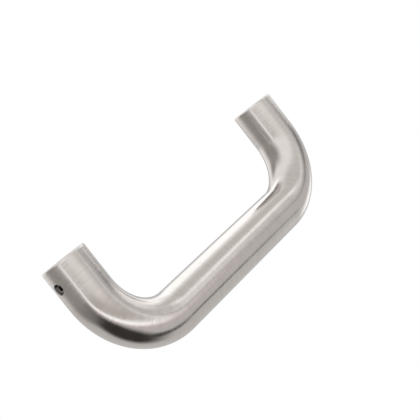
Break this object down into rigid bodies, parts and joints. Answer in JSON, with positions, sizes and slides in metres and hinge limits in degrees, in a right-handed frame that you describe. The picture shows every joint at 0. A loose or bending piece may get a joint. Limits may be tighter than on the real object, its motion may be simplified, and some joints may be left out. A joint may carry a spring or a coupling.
{
  "type": "bridge pull handle",
  "caption": "Bent round-tube pull handle: a straight grip on two square legs, with a plug in each foot that slides over a fixing stud and is locked by a set screw.",
  "frame": {"origin": "on the door face, midway between the two legs", "axes": "+Z from the door to the grip, X along the grip, Y across the tube"},
  "size_m": [0.172, 0.022, 0.06],
  "materials": {
    "satin_stainless": "satin, fine grain round the tube",
    "turned_steel": "turned",
    "screw_steel": "dark, smooth"
  },
  "bodies": {
    "root": {"handle_tube": "satin_stainless", "left_end_plug": "turned_steel", "right_end_plug": "turned_steel", "left_set_screw": "screw_steel", "right_set_screw": "screw_steel"}
  },
  "joints": []
}
